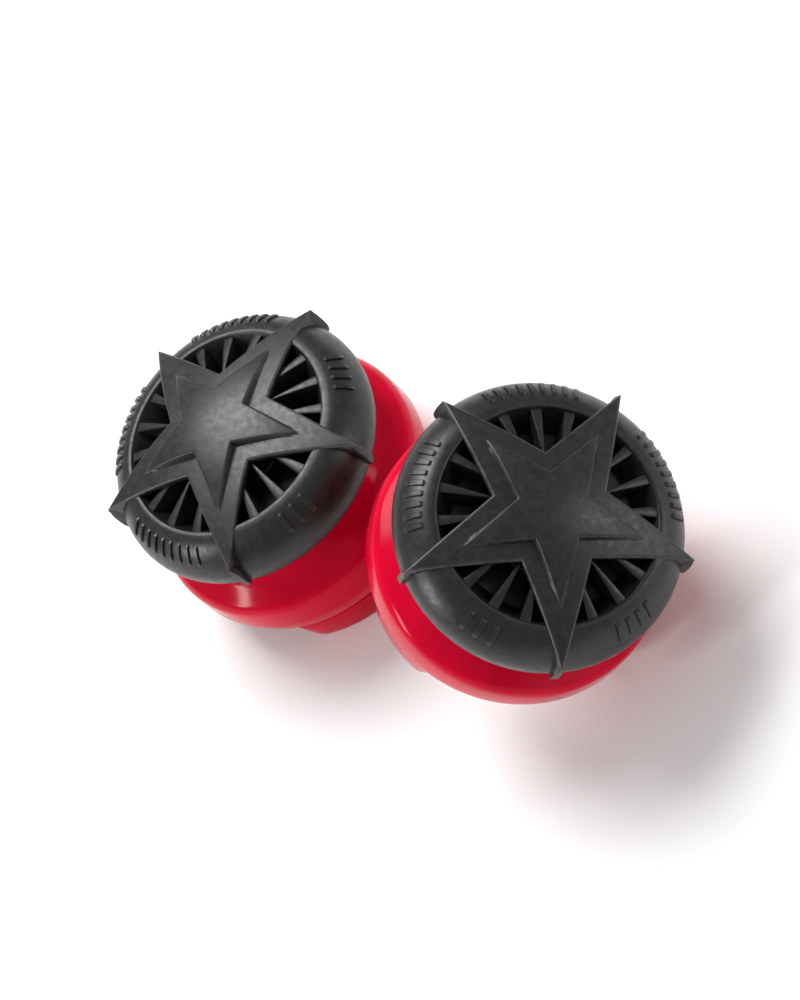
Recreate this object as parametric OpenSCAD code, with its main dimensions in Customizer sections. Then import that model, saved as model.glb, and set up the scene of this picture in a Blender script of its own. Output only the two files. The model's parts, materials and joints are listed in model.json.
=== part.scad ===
// A pair of thumbstick grips that snap onto the caps of a game controller's sticks.
// Millimetres, +Z up. The origin is the centre of the left grip's seat, where a stick's top rests.
// Each grip is drawn upright about its own seat, then placed: the left one stands on its clips,
// the right one is tipped away from it and touches the floor with the edge of one clip.

/* [Head] */
// Radius of the rubber head at its widest
head_r = 13.4; // [13.2:0.1:13.5]
// Radius of the bowl's upper lip
lip_r = 10.4; // [10.2:0.1:10.6]
// Height of the lip above the seat
lip_z = 11.5; // [11.3:0.1:11.6]
// Height of the head's widest line above the seat
equator_z = 7.8; // [7.6:0.1:8]
// Height of the head's flat underside above the seat
underside_z = 5.2; // [5:0.1:5.4]
// Height of the bowl's floor above the seat
bowl_floor_z = 8.8; // [8:0.1:9.2]
// Radius of the bowl's floor, inside its sloping wall
bowl_floor_r = 8.4; // [7.5:0.1:9]
// Height of the crown on which the fins' tops lie
fin_crown_z = 12.6; // [12.5:0.05:12.7]
// Radius of curvature of the fins' crown
fin_curve = 38; // [36:1:40]
// Number of wedge fins in the bowl
fin_count = 20; // [10:5:30]
// Width of a fin at the bowl's wall
fin_w = 1.1; // [0.6:0.1:1.2]

/* [Star] */
// Radius to the star's sharp tips
star_r = 14.15; // [14:0.05:14.3]
// Radius to the notches between the arms
notch_r = 5.5; // [5.2:0.1:5.8]
// Size of the raised inner star against the outer one
inner_ratio = 0.62; // [0.5:0.01:0.7]
// Height of the outer star's crown above the seat
crown_z = 13.3; // [13.2:0.1:13.5]
// Radius of curvature of the outer star's crown
crown_curve = 35; // [33:1:38]
// Height of the inner star's crown above the seat
inner_crown_z = 14.2; // [14:0.1:14.4]
// Radius of curvature of the inner star's crown
inner_curve = 20; // [19:1:22]
// Width of the claw at the end of each arm
claw_w = 0.7; // [0.5:0.1:1]
// Height of the claw's lower end above the seat
claw_end_z = 6.7; // [6.4:0.1:7]

/* [Base] */
// Radius of the shoulder
shoulder_r = 13.7; // [13.5:0.1:13.9]
// Radius of the skirt's lower edge
skirt_r = 13.2; // [13:0.1:13.4]
// Depth of the skirt's lower edge below the seat
skirt_drop = 4.2; // [4:0.1:4.4]
// Radius of the waist under the head
waist_r = 10.5; // [10.3:0.1:10.7]
// Radius of the socket that takes the stick's cap
socket_r = 10; // [9.8:0.1:10.1]
// Depth of the socket's collar below the seat
collar_drop = 3.4; // [3:0.1:3.6]
// Thickness of the socket's roof
roof_t = 1.6; // [1.2:0.1:2]
// Number of stiffening webs behind the skirt
web_count = 12; // [3:3:15]

/* [Clips] */
// Depth of the clips' feet below the seat
clip_drop = 8.4; // [8.2:0.1:8.8]
// Radius of a clip's foot
foot_r = 12.1; // [12:0.1:12.2]
// Half of the angle that a clip spans
clip_half_angle = 19; // [15:1:22]
// Radius to the nose of a clip's hook
hook_r = 9.6; // [9.5:0.1:9.8]
// Depth of the hook's nose below the seat
hook_drop = 6.1; // [6:0.1:6.4]

/* [Arrangement] */
// Turn of the left grip about its own axis
left_turn = -73.5; // [-180:0.5:180]
// Distance between the centres of the two grips' feet
pair_gap = 27.2; // [27:0.1:40]
// Angle by which the right grip is tipped
lean = 43; // [20:1:45]
// Direction in which the right grip leans, from +X towards +Y
lean_turn = 18.5; // [10:0.5:25]
// Turn of the right grip about its own axis
right_turn = -159.5; // [-170:0.5:-150]

/* [Hidden] */
$fn = 96;
eps = 0.5;

red_plastic = [0.82, 0.04, 0.14];
grey_rubber = [0.30, 0.30, 0.31];
dark_rubber = [0.24, 0.24, 0.25];

// Head
ring_core_r = 11;
ring_core_h = equator_z - underside_z;
ring_top_power = 1.7;
ring_low_power = 2.4;
ring_steps = 12;
bowl_wall_r = lip_r - 0.3;
pillar_r = 4.6;
pillar_top_z = 12.2;
boss_r = 7.4;
stem_top_z = underside_z + 1;
fin_inner_r = 5.2;
fin_root = 0.2;

// Star
arm_step = 72;
first_arm = 90;
pillar_pocket_r = 4.9;
bed_crown_z = fin_crown_z + 0.05;
claw_r = 14;

// Base
skirt_t = 0.85;
shoulder_low_z = -2.4;
fillet_r = 1.8;
fillet_z = -0.2;
waist_curve = 4;
flare_angle = 50;
collar_r = socket_r + 1.2;
groove_top_z = -0.4;
web_t = 0.8;
dimple_r = 2.2;
dimple_h = 0.3;

// Clips
clip_angles = [-90, 30, 150];
clip_top_z = -collar_drop - 0.2;
clip_inner_r = socket_r + 0.25;
clip_outer_r = 11.6;
clip_flush_r = 12.8;
clip_flush_drop = 4.8;

// The waist's hollow meets the shoulder's fillet along their common tangent.
waist_z = fillet_z + (fillet_r + waist_curve
    - (waist_r + waist_curve - shoulder_r + fillet_r) * cos(flare_angle)) / sin(flare_angle);

// The head's ring starts at the lip's inner edge.
bowl_edge = [bowl_wall_r, lip_z - 0.2];

// The tipped grip's feet are raised so that the lowest edge just meets the floor.
right_lift = foot_r * sin(lean);

function arc(r, z, radius, from, to, steps) =
    [for (i = [0:steps]) let (a = from + (to - from) * i / steps)
        [r + radius * cos(a), z + radius * sin(a)]];

function rounded_power(angle, power) = pow(abs(angle), 2 / power);

// The head's outer face, from the lip down to its widest line.
function ring_top_face() =
    [for (i = [ring_steps:-1:0]) let (a = 90 * i / ring_steps)
        [lip_r + (head_r - lip_r) * rounded_power(cos(a), ring_top_power),
         equator_z + (lip_z - equator_z) * rounded_power(sin(a), ring_top_power)]];

// The head's outer face, from just under its widest line round to the flat underside.
function ring_low_face() =
    [for (i = [1:ring_steps]) let (a = 90 * i / ring_steps)
        [ring_core_r + (head_r - ring_core_r) * rounded_power(cos(a), ring_low_power),
         equator_z - ring_core_h * rounded_power(sin(a), ring_low_power)]];

function star_points(tip, notch) =
    [for (i = [0:9]) let (a = first_arm + i * arm_step / 2, r = i % 2 == 0 ? tip : notch)
        [r * cos(a), r * sin(a)]];

module sector(half_angle, reach, low, high) {
    translate([0, 0, low])
        linear_extrude(high - low)
            polygon([[0, 0], [reach, -reach * tan(half_angle)], [reach, reach * tan(half_angle)]]);
}

module dome(crown, curve) {
    translate([0, 0, crown - curve]) sphere(curve);
}

// What lies under the star: the pillar, the fins' crown and the head's ring.
module star_bed() {
    rotate_extrude()
        polygon(concat(
            [[pillar_pocket_r, 0], [pillar_pocket_r, bowl_edge[1]], bowl_edge],
            ring_top_face(),
            ring_low_face(),
            [[ring_core_r, 0]]));
    cylinder(r = pillar_pocket_r, h = pillar_top_z);
    intersection() {
        dome(bed_crown_z, fin_curve);
        difference() {
            cylinder(r = lip_r, h = bed_crown_z);
            cylinder(r = pillar_pocket_r, h = bed_crown_z);
        }
    }
}

module claws() {
    for (i = [0:4])
        rotate([90, 0, first_arm + i * arm_step])
            linear_extrude(claw_w, center = true)
                polygon([
                    [head_r - 0.9, lip_z], [claw_r - 0.1, lip_z], [claw_r, equator_z + 1.8],
                    [claw_r - 0.05, equator_z - 0.4], [claw_r - 0.35, claw_end_z],
                    [head_r - 0.9, claw_end_z]
                ]);
}

module star() {
    color(dark_rubber) {
        difference() {
            intersection() {
                union() {
                    translate([0, 0, claw_end_z])
                        linear_extrude(crown_z) polygon(star_points(star_r, notch_r));
                    claws();
                }
                dome(crown_z, crown_curve);
                cylinder(r = claw_r, h = crown_z + eps);
            }
            star_bed();
        }
        intersection() {
            translate([0, 0, pillar_top_z])
                linear_extrude(crown_z) polygon(star_points(star_r * inner_ratio, notch_r * inner_ratio));
            dome(inner_crown_z, inner_curve);
        }
    }
}

module fins() {
    intersection() {
        for (i = [0:fin_count - 1])
            rotate([0, 0, first_arm + i * 360 / fin_count])
                translate([0, 0, bowl_floor_z - fin_root])
                    linear_extrude(fin_crown_z)
                        polygon([
                            [fin_inner_r, 0], [bowl_wall_r + fin_root, -fin_w / 2],
                            [bowl_wall_r + fin_root, fin_w / 2]
                        ]);
        dome(fin_crown_z, fin_curve);
    }
}

module tread_cap() {
    color(grey_rubber) {
        rotate_extrude()
            polygon(concat(
                [[0, roof_t], [0, pillar_top_z], [pillar_r, pillar_top_z], [pillar_r, bowl_floor_z],
                 [bowl_floor_r, bowl_floor_z], bowl_edge],
                ring_top_face(),
                ring_low_face(),
                [[waist_r, underside_z], [waist_r, stem_top_z], [boss_r, stem_top_z], [boss_r, roof_t]]));
        fins();
    }
}

// Skirt, shoulder, waist and stem, as one outline turned about the axis.
module base_body() {
    rotate_extrude()
        polygon(concat(
            [[0, stem_top_z], [0, -skirt_drop], [skirt_r - 0.2, -skirt_drop], [skirt_r, 0.2 - skirt_drop],
             [shoulder_r, shoulder_low_z]],
            arc(shoulder_r - fillet_r, fillet_z, fillet_r, 0, flare_angle, 8),
            arc(waist_r + waist_curve, waist_z, waist_curve, 180 + flare_angle, 180, 8),
            [[waist_r, stem_top_z]]));
}

module base() {
    color(red_plastic) {
        difference() {
            base_body();
            translate([0, 0, -skirt_drop - eps]) cylinder(r = socket_r, h = skirt_drop + eps);
            translate([0, 0, -skirt_drop - eps]) cylinder(r = collar_r, h = skirt_drop - collar_drop + eps);
            rotate_extrude()
                polygon([
                    [collar_r, -skirt_drop - eps], [skirt_r - skirt_t, -skirt_drop - eps],
                    [skirt_r - skirt_t, -skirt_drop], [shoulder_r - skirt_t - 0.15, shoulder_low_z],
                    [shoulder_r - skirt_t - 0.15, groove_top_z], [collar_r, groove_top_z]
                ]);
            translate([0, 0, roof_t]) cylinder(r = boss_r, h = stem_top_z);
            translate([0, 0, -eps]) cylinder(r = dimple_r, h = dimple_h + eps);
        }
        intersection() {
            for (i = [0:web_count - 1])
                rotate([0, 0, (i + 0.5) * 360 / web_count])
                    translate([collar_r - 0.2, -web_t / 2, -collar_drop + 0.3])
                        cube([skirt_r - collar_r, web_t, collar_drop + groove_top_z]);
            base_body();
        }
    }
}

module clip(turn) {
    color(red_plastic)
        rotate([0, 0, turn])
            intersection() {
                rotate_extrude()
                    polygon([
                        [clip_inner_r, clip_top_z], [clip_inner_r, 0.7 - hook_drop],
                        [hook_r, -hook_drop], [hook_r, -hook_drop - 0.4], [clip_inner_r + 0.65, -clip_drop],
                        [foot_r, -clip_drop], [clip_flush_r, -clip_flush_drop],
                        [clip_outer_r, -clip_flush_drop], [clip_outer_r, clip_top_z]
                    ]);
                sector(clip_half_angle, 2 * foot_r, -clip_drop, clip_top_z);
            }
}

module place_left() {
    rotate([0, 0, left_turn]) children();
}

module place_right() {
    translate([pair_gap, 0, right_lift - clip_drop])
        rotate([0, 0, lean_turn])
            rotate([0, lean, 0])
                translate([0, 0, clip_drop])
                    rotate([0, 0, right_turn]) children();
}

place_left() base();  // left_base
place_left() clip(clip_angles[0]);  // left_clip_1
place_left() clip(clip_angles[1]);  // left_clip_2
place_left() clip(clip_angles[2]);  // left_clip_3
place_left() tread_cap();  // left_tread_cap
place_left() star();  // left_star
place_right() base();  // right_base
place_right() clip(clip_angles[0]);  // right_clip_1
place_right() clip(clip_angles[1]);  // right_clip_2
place_right() clip(clip_angles[2]);  // right_clip_3
place_right() tread_cap();  // right_tread_cap
place_right() star();  // right_star
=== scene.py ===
import json
import math

import bmesh
import bpy
from mathutils import Matrix, Vector


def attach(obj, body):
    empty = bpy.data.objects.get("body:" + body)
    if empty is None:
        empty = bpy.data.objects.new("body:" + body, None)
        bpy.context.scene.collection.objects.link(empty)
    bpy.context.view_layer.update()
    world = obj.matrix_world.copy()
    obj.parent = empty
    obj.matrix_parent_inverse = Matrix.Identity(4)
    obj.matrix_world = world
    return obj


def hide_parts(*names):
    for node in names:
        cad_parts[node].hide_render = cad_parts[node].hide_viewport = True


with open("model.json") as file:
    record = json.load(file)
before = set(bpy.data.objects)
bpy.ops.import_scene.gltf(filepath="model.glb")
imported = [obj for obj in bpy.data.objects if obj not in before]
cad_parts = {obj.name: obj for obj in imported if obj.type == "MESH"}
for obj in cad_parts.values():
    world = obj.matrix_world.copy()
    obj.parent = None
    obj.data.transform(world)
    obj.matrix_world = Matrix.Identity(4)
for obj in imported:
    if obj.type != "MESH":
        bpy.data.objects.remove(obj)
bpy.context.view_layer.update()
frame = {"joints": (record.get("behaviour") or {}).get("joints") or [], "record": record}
record = frame["record"]

# Lengths below are in millimetres in a grip's own frame: the seat of its socket is the
# origin and its star points to +Z. Meshes are made in metres.
MM = 0.001
FLOOR_Z = -8.4
TURN_SIDES = 240
SHARP_ANGLE = 38

HEAD_R, LIP_R, LIP_Z, EQUATOR_Z, UNDERSIDE_Z = 13.4, 10.4, 11.5, 7.8, 5.2
RING_CORE_R, RING_TOP_POWER, RING_LOW_POWER = 11.0, 1.7, 2.4
BOWL_FLOOR_R, BOWL_FLOOR_Z = 8.4, 8.8
PILLAR_R, PILLAR_TOP_Z = 4.6, 12.2
WAIST_R, BOSS_R, ROOF_T, STEM_TOP_Z = 10.5, 7.4, 1.6, 6.2
FIN_COUNT, FIN_W, FIN_INNER_R, FIN_OUTER_R = 20, 1.1, 5.2, 10.3
FIN_CROWN, FIN_CURVE = 12.6, 38.0

ARMS, FIRST_ARM = 5, 90.0
STAR_R, NOTCH_R, INNER_RATIO = 14.15, 5.5, 0.62
CROWN, CROWN_CURVE = 13.3, 35.0
INNER_CROWN, INNER_CURVE = 14.2, 20.0
ARM_END_R = 14.0
# Underside of the star: crown over the fins, radius over the pillar, and where the ring begins.
BED_CROWN, BED_PILLAR_R, RING_BEGINS_R = 12.65, 4.9, 10.0

SOCKET_R, COLLAR_R, COLLAR_DROP = 10.0, 11.2, 3.4
SKIRT_R, SKIRT_DROP, SKIRT_INNER_R = 13.7, 4.2, 12.7
WEB_COUNT, WEB_HALF_W = 12, 0.4
CLIP_ANGLES, CLIP_HALF_ANGLE, CLIP_DROP = (-90, 30, 150), 19, 8.4


# ---------------------------------------------------------------- camera


def camera_axes(azimuth, elevation, roll):
    """Right, up and towards-the-camera directions of a camera."""
    az, el, ro = (math.radians(a) for a in (azimuth, elevation, roll))
    back = Vector((math.cos(el) * math.cos(az), math.cos(el) * math.sin(az), math.sin(el)))
    level = Vector((0, 0, 1)).cross(back).normalized()
    rise = back.cross(level)
    right = level * math.cos(ro) + rise * math.sin(ro)
    up = rise * math.cos(ro) - level * math.sin(ro)
    return right, up, back


AZIMUTH, ELEVATION, ROLL = -12.82, 50.24, -49.81
RIGHT, UP, BACK = camera_axes(AZIMUTH, ELEVATION, ROLL)
AIM = Vector((15.07, 2.32, 2.82)) * MM
CAMERA_DISTANCE = 674.0 * MM
SENSOR_WIDTH, FOCAL_LENGTH = 36, 262.8


def facing(origin, right, up, back):
    """World matrix of a camera or lamp at origin whose own axes are these."""
    turn = Matrix((right, up, back)).transposed()
    return Matrix.Translation(origin) @ turn.to_4x4()


camera_data = bpy.data.cameras.new("camera")
camera_data.sensor_width = SENSOR_WIDTH
camera_data.lens = FOCAL_LENGTH
camera = bpy.data.objects.new("camera", camera_data)
bpy.context.scene.collection.objects.link(camera)
camera.matrix_world = facing(AIM + BACK * CAMERA_DISTANCE, RIGHT, UP, BACK)
bpy.context.scene.camera = camera


# ---------------------------------------------------------------- outlines


def dome(r, crown, curve):
    """Height at radius r of a sphere of radius curve whose top is at crown."""
    return crown - curve + math.sqrt(curve * curve - r * r)


def smooth(t):
    """A soft step from 0 to 1."""
    t = min(max(t, 0.0), 1.0)
    return t * t * (3 - 2 * t)


def ring_top(r):
    """Height of the head's ring above its widest line."""
    t = min(max((r - LIP_R) / (HEAD_R - LIP_R), 0.0), 1.0)
    return EQUATOR_Z + (LIP_Z - EQUATOR_Z) * (1 - t**RING_TOP_POWER) ** (1 / RING_TOP_POWER)


NEARLY_STRAIGHT = math.radians(177)


def filleted(corners, steps=6):
    """A polyline through (a, b) corners, where a third number is a corner's fillet radius."""
    line = []
    for i, corner in enumerate(corners):
        here = Vector(corner[:2])
        radius = corner[2] if len(corner) > 2 else 0
        if not radius or i in (0, len(corners) - 1):
            line.append(tuple(here))
            continue
        back = (Vector(corners[i - 1][:2]) - here).normalized()
        on = (Vector(corners[i + 1][:2]) - here).normalized()
        angle = back.angle(on)
        if angle > NEARLY_STRAIGHT:
            line.append(tuple(here))
            continue
        reach = radius / math.tan(angle / 2)
        centre = here + (back + on).normalized() * (radius / math.sin(angle / 2))
        start, end = here + back * reach - centre, here + on * reach - centre
        a0 = math.atan2(start.y, start.x)
        sweep = (math.atan2(end.y, end.x) - a0 + math.pi) % (2 * math.pi) - math.pi
        for k in range(steps + 1):
            a = a0 + sweep * k / steps
            line.append((centre.x + radius * math.cos(a), centre.y + radius * math.sin(a)))
    return line


def closed_fillet(corners, steps=4):
    """The same for a closed outline, where every corner may be rounded."""
    around = [corners[-1]] + list(corners) + [corners[0]]
    line = filleted(around, steps)
    return line[1:-1]


MITRE_LIMIT = 0.4


def inset(outline, d):
    """A closed outline moved inwards by d, whichever way round it runs."""
    n = len(outline)
    area = sum(
        outline[i][0] * outline[(i + 1) % n][1] - outline[(i + 1) % n][0] * outline[i][1]
        for i in range(n)
    )
    turn = 1 if area > 0 else -1
    moved = []
    for i in range(n):
        here = Vector(outline[i])
        a = (here - Vector(outline[i - 1])).normalized()
        b = (Vector(outline[(i + 1) % n]) - here).normalized()
        na, nb = Vector((-a.y, a.x)) * turn, Vector((-b.y, b.x)) * turn
        mid = na + nb
        share = max(MITRE_LIMIT, 1 + na.dot(nb))
        moved.append(tuple(here + mid * (d / share)))
    return moved


# ---------------------------------------------------------------- shells


class Shell:
    """Points and faces of one piece, made of closed skins."""

    def __init__(self):
        self.points = []
        self.faces = []
        # Per-point weight of the painted rim highlight, which the rubber material reads.
        self.painted_highlight = []

    def ring(self, points, painted_highlight=0.0):
        first = len(self.points)
        self.points.extend(tuple(p) for p in points)
        self.painted_highlight.extend([painted_highlight] * len(points))
        return list(range(first, len(self.points)))

    def bridge(self, a, b):
        """Faces between two closed rings, either of which may be one point."""
        n = max(len(a), len(b))
        for i in range(n):
            j = (i + 1) % n
            if len(a) == 1:
                self.faces.append((a[0], b[j], b[i]))
            elif len(b) == 1:
                self.faces.append((a[i], a[j], b[0]))
            else:
                self.faces.append((a[i], a[j], b[j], b[i]))

    def loft(self, sections, painted_highlight=None):
        """A skin through closed sections, with a flat face at each end."""
        rings = [self.ring(s, painted_highlight[i] if painted_highlight else 0.0) for i, s in enumerate(sections)]
        for a, b in zip(rings, rings[1:]):
            self.bridge(a, b)
        self.faces.append(tuple(reversed(rings[0])))
        self.faces.append(tuple(rings[-1]))

    def lathe(self, outline, sides=TURN_SIDES):
        """A skin turned about Z from an (r, z) outline that starts and ends on the axis."""
        rings = []
        for r, z in outline:
            if r < 1e-6:
                rings.append(self.ring([(0, 0, z)]))
                continue
            turns = [2 * math.pi * k / sides for k in range(sides)]
            rings.append(self.ring([(r * math.cos(a), r * math.sin(a), z) for a in turns]))
        for a, b in zip(rings, rings[1:]):
            self.bridge(a, b)


def turned(points, degrees):
    c, s = math.cos(math.radians(degrees)), math.sin(math.radians(degrees))
    return [(c * x - s * y, s * x + c * y, z) for x, y, z in points]


def bevelled_bar(shell, profile, half_w, bevel, degrees):
    """A bar whose (x, z) profile is swept across y, with bevelled edges, turned about Z."""
    sections = []
    for y, d in (
        (-half_w, bevel), (-half_w + 0.3 * bevel, 0.3 * bevel), (-half_w + bevel, 0),
        (half_w - bevel, 0), (half_w - 0.3 * bevel, 0.3 * bevel), (half_w, bevel),
    ):
        outline = inset(profile, d) if d else profile
        sections.append(turned([(x, y, z) for x, z in outline], degrees))
    shell.loft(sections)


# ---------------------------------------------------------------- tread cap


def cap_shell():
    shell = Shell()
    outline = filleted([
        (0, PILLAR_TOP_Z), (PILLAR_R, PILLAR_TOP_Z, 0.2), (PILLAR_R, BOWL_FLOOR_Z, 0.3),
        (BOWL_FLOOR_R, BOWL_FLOOR_Z, 0.5), (LIP_R - 0.2, LIP_Z - 0.02, 0.22), (LIP_R + 0.15, LIP_Z),
    ])
    steps = 26
    for i in range(steps - 2, -1, -1):
        a = math.radians(90 * i / steps)
        outline.append((
            LIP_R + (HEAD_R - LIP_R) * abs(math.cos(a)) ** (2 / RING_TOP_POWER),
            EQUATOR_Z + (LIP_Z - EQUATOR_Z) * abs(math.sin(a)) ** (2 / RING_TOP_POWER),
        ))
    for i in range(1, steps + 1):
        a = math.radians(90 * i / steps)
        outline.append((
            RING_CORE_R + (HEAD_R - RING_CORE_R) * abs(math.cos(a)) ** (2 / RING_LOW_POWER),
            EQUATOR_Z - (EQUATOR_Z - UNDERSIDE_Z) * abs(math.sin(a)) ** (2 / RING_LOW_POWER),
        ))
    outline += [
        (WAIST_R + 0.02, UNDERSIDE_Z), (WAIST_R + 0.02, STEM_TOP_Z + 0.02),
        (BOSS_R - 0.02, STEM_TOP_Z + 0.02), (BOSS_R - 0.02, ROOF_T + 0.02), (0, ROOF_T + 0.02),
    ]
    shell.lathe(outline)
    for i in range(FIN_COUNT):
        add_fin(shell, FIRST_ARM + 360 * i / FIN_COUNT)
    for middle, count, pitch in MARKS:
        for k in range(count):
            add_mark(shell, middle + (k - (count - 1) / 2) * pitch)
    return shell


def add_fin(shell, degrees):
    """A wedge that widens from the pillar to the bowl's wall, with its top on the crown."""
    low = BOWL_FLOOR_Z - 0.2
    narrow, draft, bevel = 0.06, 1.12, 0.14
    stations = (FIN_INNER_R, 5.35, 5.7, 6.4, 7.2, 8.0, 8.8, 9.6, FIN_OUTER_R)
    nose_drops = {0: 0.5, 1: 0.12}
    sections = []
    for i, r in enumerate(stations):
        along = (r - FIN_INNER_R) / (FIN_OUTER_R - FIN_INNER_R)
        half = narrow + (FIN_W / 2 - narrow) * along
        edge = min(bevel, 0.6 * half)
        top = dome(r, FIN_CROWN, FIN_CURVE) - nose_drops.get(i, 0)
        flank = half * draft
        profile = [
            (-flank, low), (-half, top - edge),
            (-half + 0.3 * edge, top - 0.3 * edge), (-half + edge, top),
            (half - edge, top), (half - 0.3 * edge, top - 0.3 * edge),
            (half, top - edge), (flank, low),
        ]
        sections.append(turned([(r, y, z) for y, z in profile], degrees))
    shell.loft(sections)


# Plain raised bars on the ring, in groups between the arms: middle angle, count, pitch.
MARKS = ((54, 3, 6.4), (126, 4, 5.6), (198, 9, 4.9), (270, 9, 4.9), (342, 9, 4.9))
MARK_INNER_R, MARK_OUTER_R, MARK_HALF_W, MARK_RISE = 11.4, 12.85, 0.25, 0.2


def add_mark(shell, degrees):
    """A bar that lies on the ring and runs outwards, with low, narrow ends."""
    steps, bevel, root = 8, 0.06, -0.25
    sections = []
    for i in range(steps + 1):
        r = MARK_INNER_R + (MARK_OUTER_R - MARK_INNER_R) * i / steps
        slope = (ring_top(r + 0.01) - ring_top(r - 0.01)) / 0.02
        lean = 1 / math.hypot(1, slope)
        end = i in (0, steps)
        rise = 0.02 if end else MARK_RISE
        half = MARK_HALF_W * (0.8 if end else 1)
        surface = ring_top(r)
        profile = [
            (-half, root), (-half, rise - bevel), (-half + bevel, rise),
            (half - bevel, rise), (half, rise - bevel), (half, root),
        ]
        bar = [(r - slope * lean * h, y, surface + lean * h) for y, h in profile]
        sections.append(turned(bar, degrees))
    shell.loft(sections)


# ---------------------------------------------------------------- star


def star_outline(scale, end_r, side_steps=16):
    """The star's plan at a scale, with its arms cut off at end_r, as (x, y) points."""
    half_turn = math.radians(180 / ARMS)
    notch = (NOTCH_R * scale * math.cos(half_turn), NOTCH_R * scale * math.sin(half_turn))
    tip = STAR_R * scale
    end_x = min(end_r, tip - 0.02)
    end_y = notch[1] * (tip - end_x) / (tip - notch[0])
    half = []
    for i in range(side_steps + 1):
        t = i / side_steps
        half.append((notch[0] + (end_x - notch[0]) * t, notch[1] + (end_y - notch[1]) * t))
    half += [(end_x, end_y * 0.5), (end_x, 0.0)]
    arm = [(x, -y) for x, y in half] + [(x, y) for x, y in reversed(half[:-1])][:-1]
    outline = []
    for k in range(ARMS):
        a = math.radians(FIRST_ARM + 360 * k / ARMS)
        c, s = math.cos(a), math.sin(a)
        outline += [(c * x - s * y, s * x + c * y) for x, y in arm]
    return outline


def mixed(a, b, t):
    return [(p[0] + (q[0] - p[0]) * t, p[1] + (q[1] - p[1]) * t) for p, q in zip(a, b)]


def outer_top(r):
    return dome(r, CROWN, CROWN_CURVE)


def inner_top(r):
    return max(dome(r, INNER_CROWN, INNER_CURVE), outer_top(r))


def under(r):
    """Underside of the star: over the pillar, over the fins, then just into the ring."""
    over_fins = dome(r, BED_CROWN, FIN_CURVE)
    on_ring = ring_top(r) - 0.06
    if r < BED_PILLAR_R:
        return min(over_fins, PILLAR_TOP_Z + 0.02)
    blend = smooth((r - RING_BEGINS_R) / 0.5)
    return over_fins * (1 - blend) + min(over_fins, max(on_ring, 8.6)) * blend


def star_shell():
    """One skin: out over the inner star, down its step, over the arms, round and back under."""
    shell = Shell()
    half_turn = math.radians(180 / ARMS)
    notch = (NOTCH_R * math.cos(half_turn), NOTCH_R * math.sin(half_turn))
    # Distance from the axis to the line of an arm's side. It turns a distance into a scale.
    line_r = STAR_R * notch[1] / math.dist((STAR_R, 0), notch)
    inner_line_r = line_r * INNER_RATIO
    uncut, step_draft, rim, wall_drop = 99, 0.14, 0.16, 0.17
    inner_rings, arm_rings, under_rings = 14, 12, 12
    rings = []

    def add(outline, height, painted_highlight=0.0):
        rings.append(shell.ring([(x, y, height(math.hypot(x, y))) for x, y in outline], painted_highlight))

    def bottom(r):
        return min(under(r), outer_top(r) - 0.2)

    rings.append(shell.ring([(0, 0, INNER_CROWN)]))
    for k in range(1, inner_rings + 1):
        scale = INNER_RATIO * (1 - step_draft / inner_line_r) * k / inner_rings
        add(star_outline(scale, uncut), inner_top)
    # Rows: inset, drop, and weight of the painted highlight on the inner star's rim.
    for d, drop, painted_highlight in ((0.08, 0.012, 0.1), (0.03, 0.05, 0.4), (0.0, 0.13, 0.2)):
        scale = INNER_RATIO * (1 - d / inner_line_r)
        add(star_outline(scale, uncut), lambda r: max(inner_top(r) - drop, outer_top(r)), painted_highlight)
    inner = star_outline(INNER_RATIO * (1 + step_draft / inner_line_r), uncut)
    add(inner, outer_top)
    outer = star_outline(1 - rim / line_r, ARM_END_R)
    for k in range(1, arm_rings + 1):
        # The last arm ring gets a little painted highlight.
        painted_highlight = 0.0 if k < arm_rings else 0.3
        add(mixed(inner, outer, k / arm_rings), outer_top, painted_highlight)
    # Rows: inset, drop, and weight of the painted highlight on the arms' outer rim.
    for d, drop, painted_highlight in ((0.09, 0.025, 0.7), (0.04, 0.07, 1.0), (0.0, wall_drop, 0.5)):
        edge = star_outline(1 - d / line_r, ARM_END_R + 0.02)
        add(edge, lambda r: outer_top(r) - drop, painted_highlight)
    wall = star_outline(1, ARM_END_R + 0.02)
    for t in (0.4, 0.8, 1.0):
        add(wall, lambda r: (outer_top(r) - wall_drop) * (1 - t) + bottom(r) * t)
    for k in range(under_rings - 1, 0, -1):
        add([(x * k / under_rings, y * k / under_rings) for x, y in wall], bottom)
    rings.append(shell.ring([(0, 0, under(0))]))
    for a, b in zip(rings, rings[1:]):
        shell.bridge(a, b)
    for k in range(ARMS):
        add_claw(shell, FIRST_ARM + 360 * k / ARMS)
    return shell


# A claw's slices: height, outer radius, half width at its outer face and at its root.
CLAW_SLICES = (
    (10.35, 13.90, 0.03, 0.20), (10.05, 13.97, 0.10, 0.26), (9.65, 14.02, 0.20, 0.31),
    (9.1, 14.03, 0.30, 0.35), (8.3, 14.02, 0.32, 0.36), (7.5, 13.98, 0.32, 0.36),
    (7.0, 13.88, 0.30, 0.35), (6.75, 13.78, 0.25, 0.31), (6.66, 13.66, 0.16, 0.24),
)


def add_claw(shell, degrees):
    """The blade at an arm's end, which hooks down over the ring's widest line."""
    edge = 0.05
    sections = []
    for z, outer, half, root in CLAW_SLICES:
        plan = [
            (12.9, -root), (HEAD_R, -root),
            (outer - edge, -half - edge * 0.4), (outer, -half + edge * 0.5),
        ]
        plan += [(x, -y) for x, y in reversed(plan)]
        sections.append(turned([(x, y, z) for x, y in plan], degrees))
    shell.loft(sections)


# ---------------------------------------------------------------- base and clips


def arc(r, z, radius, start, end, steps):
    """Points of an arc about (r, z), between two angles in degrees."""
    turns = [math.radians(start + (end - start) * i / steps) for i in range(steps + 1)]
    return [(r + radius * math.cos(a), z + radius * math.sin(a)) for a in turns]


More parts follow.
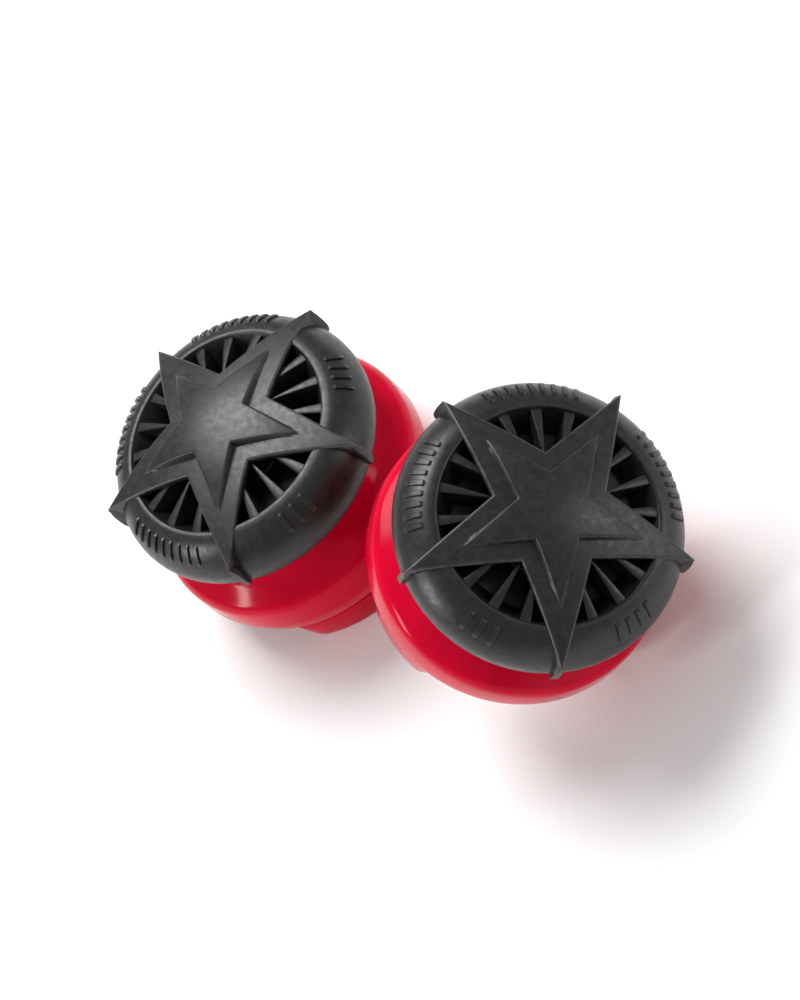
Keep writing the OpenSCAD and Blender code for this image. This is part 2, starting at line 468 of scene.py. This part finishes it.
# The hollow of the waist and the shoulder's fillet, which share a tangent.
FLARE = arc(14.5, 5.19, 4.0, 180, 230, 14) + arc(11.9, -0.2, 1.8, 50, 0, 12)


def base_shell():
    shell = Shell()
    shell.lathe(filleted([
        (0, ROOF_T), (BOSS_R, ROOF_T), (BOSS_R, STEM_TOP_Z), (WAIST_R, STEM_TOP_Z),
        *FLARE, (SKIRT_R, -2.4), (13.62, -2.75), (13.13, -SKIRT_DROP, 0.2),
        (12.35, -SKIRT_DROP, 0.2), (SKIRT_INNER_R, -2.4), (SKIRT_INNER_R, -0.4, 0.4),
        (COLLAR_R, -0.4, 0.3),
        (COLLAR_R, -COLLAR_DROP, 0.15), (SOCKET_R, -COLLAR_DROP, 0.3), (SOCKET_R, 0, 0.15),
        (2.2, 0, 0.08), (2.2, 0.3, 0.08), (0, 0.3),
    ], steps=10))
    for i in range(WEB_COUNT):
        profile = closed_fillet([
            (COLLAR_R - 0.15, -0.2), (SKIRT_INNER_R + 0.15, -0.2),
            (SKIRT_INNER_R + 0.15, -3.0, 0.1), (COLLAR_R - 0.15, -3.1, 0.1),
        ])
        bevelled_bar(shell, profile, WEB_HALF_W, 0.08, (i + 0.5) * 360 / WEB_COUNT)
    return shell


def clip_shell(angle):
    """A clip finger: its root in the collar, hook, foot, outer face and step under the skirt."""
    shell = Shell()
    profile = closed_fillet([
        (10.3, -3.25), (10.27, -5.3, 0.2), (9.6, -6.05, 0.12), (9.6, -6.5, 0.15),
        (10.9, -CLIP_DROP, 0.2), (12.1, -CLIP_DROP, 0.25), (12.8, -4.8, 0.25),
        (11.8, -4.75, 0.3), (11.6, -3.75, 0.1), (11.1, -3.5, 0.05), (11.05, -3.25),
    ])
    # Towards each end the lower corners rise, from this angle and height.
    corner_begins, corner_rise, corner_z = 13.5, 1.3, -6.4
    steps = 30
    turns = [-CLIP_HALF_ANGLE + 2 * CLIP_HALF_ANGLE * i / steps for i in range(steps + 1)]
    turns[1:1] = [turns[0] + 0.25, turns[0] + 0.6]
    turns[-1:-1] = [turns[-1] - 0.6, turns[-1] - 0.25]
    insets = {0: 0.16, 1: 0.06, 2: 0.015}
    sections = []
    for i, phi in enumerate(turns):
        d = insets.get(i, insets.get(len(turns) - 1 - i, 0))
        outline = inset(profile, d) if d else profile
        past = (abs(phi) - corner_begins) / (CLIP_HALF_ANGLE - corner_begins)
        lift = corner_rise * min(max(past, 0), 1) ** 2
        section = []
        for r, z in outline:
            share = min(max((corner_z - z) / 2.0, 0), 1)
            section.append((r, 0, z + lift * share))
        sections.append(turned(section, angle + phi))
    shell.loft(sections)
    return shell


# ---------------------------------------------------------------- materials


class Nodes:
    """A material with one Principled BSDF, and short ways to add what feeds it."""

    def __init__(self, name):
        self.material = bpy.data.materials.new(name)
        self.material.use_nodes = True
        self.tree = self.material.node_tree
        self.bsdf = self.tree.nodes["Principled BSDF"]
        self.place = self.tree.nodes.new("ShaderNodeTexCoord").outputs["Object"]

    def set(self, **values):
        for key, value in values.items():
            self.bsdf.inputs[key.replace("_", " ")].default_value = value
        return self

    def link(self, output, socket):
        self.tree.links.new(output, self.bsdf.inputs[socket])

    def noise(self, size_mm, detail=3.0, roughness=0.55):
        node = self.tree.nodes.new("ShaderNodeTexNoise")
        node.inputs["Scale"].default_value = 1 / (size_mm * MM)
        node.inputs["Detail"].default_value = detail
        node.inputs["Roughness"].default_value = roughness
        self.tree.links.new(self.place, node.inputs["Vector"])
        return node.outputs["Fac"]

    def ramp(self, fac, stops):
        node = self.tree.nodes.new("ShaderNodeValToRGB")
        ramp = node.color_ramp
        while len(ramp.elements) < len(stops):
            ramp.elements.new(0.5)
        for element, (position, colour) in zip(ramp.elements, stops):
            element.position = position
            element.color = (*colour, 1)
        self.tree.links.new(fac, node.inputs["Fac"])
        return node.outputs["Color"]

    def spread(self, fac, low, high, start=0.3, end=0.7):
        node = self.tree.nodes.new("ShaderNodeMapRange")
        sockets = ("From Min", "From Max", "To Min", "To Max")
        for socket, value in zip(sockets, (start, end, low, high)):
            node.inputs[socket].default_value = value
        self.tree.links.new(fac, node.inputs["Value"])
        return node.outputs["Result"]

    def mix(self, fac, a, b):
        node = self.tree.nodes.new("ShaderNodeMix")
        node.data_type = "RGBA"
        self.tree.links.new(fac, node.inputs[0])
        self.tree.links.new(a, node.inputs[6])
        self.tree.links.new(b, node.inputs[7])
        return node.outputs[2]

    def product(self, a, b):
        node = self.tree.nodes.new("ShaderNodeMath")
        node.operation = "MULTIPLY"
        node.use_clamp = True
        self.tree.links.new(a, node.inputs[0])
        self.tree.links.new(b, node.inputs[1])
        return node.outputs[0]

    def attribute(self, name):
        node = self.tree.nodes.new("ShaderNodeAttribute")
        node.attribute_name = name
        return node.outputs["Fac"]

    def bump(self, heights):
        """Adds layers of (height output, depth in mm, strength), finest last."""
        normal = None
        for height, depth, strength in heights:
            node = self.tree.nodes.new("ShaderNodeBump")
            node.inputs["Distance"].default_value = depth * MM
            node.inputs["Strength"].default_value = strength
            self.tree.links.new(height, node.inputs["Height"])
            if normal:
                self.tree.links.new(normal, node.inputs["Normal"])
            normal = node.outputs["Normal"]
        self.link(normal, "Normal")


def grey(value):
    return (value, value, value)


def rubber(name, dark, light, painted_highlight):
    """Mottled matt rubber, with painted highlights: paler along rims where a mesh's highlight
    weight is high.
    """
    nodes = Nodes(name).set(IOR=1.5, Specular_IOR_Level=0.45)
    mottle = nodes.noise(0.9, 5.0, 0.65)
    middle = (dark + light) / 2
    body = nodes.ramp(mottle, ((0.32, grey(dark)), (0.55, grey(middle)), (0.75, grey(light))))
    # Painted highlight: a paler grey laid on the rims, broken into patches by the noise below.
    edge = nodes.ramp(nodes.noise(0.5, 3.0), ((0.3, grey(painted_highlight * 0.8)), (0.7, grey(painted_highlight))))
    patch = nodes.spread(nodes.noise(1.6, 3.0), 0.25, 1.0, 0.35, 0.6)
    share = nodes.product(nodes.attribute("painted_highlight"), patch)
    nodes.link(nodes.mix(share, body, edge), "Base Color")
    nodes.link(nodes.spread(nodes.noise(0.6, 4.0), 0.28, 0.46), "Roughness")
    nodes.bump((
        (nodes.noise(2.4, 2.0), 0.06, 0.4),
        (nodes.noise(0.30, 3.0), 0.014, 0.4),
        (nodes.noise(0.10, 2.0), 0.012, 0.6),
    ))
    return nodes.material


def red_plastic(name):
    """Glossy moulded plastic, slightly translucent, with faint sink marks."""
    nodes = Nodes(name).set(
        IOR=1.13, Specular_IOR_Level=1.0, Subsurface_Weight=0.22,
        Subsurface_Radius=(1.0, 0.08, 0.14), Subsurface_Scale=1.2 * MM,
    )
    cloud = nodes.noise(5.0, 3.0)
    colour = nodes.ramp(cloud, ((0.35, (0.55, 0.0, 0.020)), (0.65, (0.65, 0.0005, 0.030))))
    nodes.link(colour, "Base Color")
    nodes.link(nodes.spread(nodes.noise(1.4, 4.0), 0.10, 0.18), "Roughness")
    nodes.bump((
        (nodes.noise(3.5, 1.0), 0.035, 0.12),
        (nodes.noise(0.5, 2.0), 0.006, 0.15),
    ))
    return nodes.material


def floor_material():
    nodes = Nodes("floor_pale").set(Specular_IOR_Level=0.2)
    colour = nodes.ramp(nodes.noise(30.0, 2.0), ((0.3, grey(0.90)), (0.7, grey(0.92))))
    nodes.link(colour, "Base Color")
    nodes.set(Roughness=0.7)
    return nodes.material


MATERIALS = {
    # The last number is the grey of the painted rim highlight; the head's meshes carry none of it.
    "cap_rubber": rubber("cap_rubber", 0.005, 0.017, 0.07),
    "star_rubber": rubber("star_rubber", 0.006, 0.021, 0.08),
    "red_plastic": red_plastic("red_plastic"),
}


# ---------------------------------------------------------------- pieces


def named(rows, name):
    return next(row for row in rows if row["name"] == name)


def placement(side):
    """Where a grip's own frame lies: its socket's mount, turned to its first clip."""
    mount = named(record["mounts"], side + "_socket")
    origin = Vector(mount["pos_m"])
    z_axis = -Vector(mount["axis"]).normalized()
    y_axis = origin - Vector(named(frame["joints"], side + "_clip_1_flex")["pos_m"])
    y_axis = (y_axis - z_axis * y_axis.dot(z_axis)).normalized()
    return facing(origin, y_axis.cross(z_axis), y_axis, z_axis)


def add_piece(name, shell, side, body, node, slot):
    """Makes a shell into an object in its grip's place, riding on a body."""
    mesh = bpy.data.meshes.new(name)
    mesh.from_pydata([tuple(c * MM for c in p) for p in shell.points], [], shell.faces)
    mesh.transform(placement(side))
    # The painted rim highlight weights go into a point attribute that the rubber reads.
    mesh.attributes.new("painted_highlight", "FLOAT", "POINT").data.foreach_set("value", shell.painted_highlight)
    skins = bmesh.new()
    skins.from_mesh(mesh)
    bmesh.ops.recalc_face_normals(skins, faces=skins.faces)
    skins.to_mesh(mesh)
    skins.free()
    mesh.shade_smooth()
    mesh.set_sharp_from_angle(angle=math.radians(SHARP_ANGLE))
    mesh.materials.append(MATERIALS[slot])
    piece = bpy.data.objects.new(name, mesh)
    bpy.context.scene.collection.objects.link(piece)
    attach(piece, body)
    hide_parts(node)


for side in ("left", "right"):
    grip = side + "_grip"
    base, cap, star = (f"{side}_{node}" for node in ("base", "tread_cap", "star"))
    add_piece(side + "_base_moulding", base_shell(), side, grip, base, "red_plastic")
    add_piece(side + "_head", cap_shell(), side, grip, cap, "cap_rubber")
    add_piece(side + "_star_tread", star_shell(), side, grip, star, "star_rubber")
    for number, angle in enumerate(CLIP_ANGLES, 1):
        clip = f"{side}_clip_{number}"
        add_piece(clip + "_finger", clip_shell(angle), side, clip + "_body", clip, "red_plastic")


# ---------------------------------------------------------------- stage and light


def add_floor():
    half = 2.0
    mesh = bpy.data.meshes.new("floor")
    z = FLOOR_Z * MM
    corners = [(-half, -half, z), (half, -half, z), (half, half, z), (-half, half, z)]
    mesh.from_pydata(corners, [], [(0, 1, 2, 3)])
    mesh.materials.append(floor_material())
    floor = bpy.data.objects.new("floor", mesh)
    bpy.context.scene.collection.objects.link(floor)


LAMP_DISTANCE = 0.5
# Name, direction as seen from the camera (right, up, back), size in metres, watts.
LAMPS = (
    ("key", (-0.85, 0.95, 0.5), (0.3, 0.3), 2.7),
    ("side", (-1.0, -0.5, 0.3), (0.05, 0.2), 0.9),
    ("rim", (0.8, 0.4, 0.6), (0.08, 0.25), 0.35),
)
WORLD_STRENGTH = 0.42


def add_lamp(name, direction, size, watts):
    """A soft rectangular lamp that shines on the object from a direction."""
    back = direction.normalized()
    level = Vector((0, 0, 1)).cross(back)
    level = level.normalized() if level.length > 1e-3 else Vector((1, 0, 0))
    data = bpy.data.lights.new(name, "AREA")
    data.shape = "RECTANGLE"
    data.size, data.size_y = size
    data.energy = watts
    lamp = bpy.data.objects.new(name, data)
    bpy.context.scene.collection.objects.link(lamp)
    lamp.matrix_world = facing(AIM + back * LAMP_DISTANCE, level, back.cross(level), back)


def seen_from(right, up, back):
    return RIGHT * right + UP * up + BACK * back


add_floor()
for name, direction, size, watts in LAMPS:
    add_lamp(name, seen_from(*direction), size, watts)

world = bpy.data.worlds.new("studio")
world.use_nodes = True
background = world.node_tree.nodes["Background"]
background.inputs["Color"].default_value = (1, 1, 1, 1)
background.inputs["Strength"].default_value = WORLD_STRENGTH
bpy.context.scene.world = world
bpy.context.scene.view_settings.view_transform = "Standard"
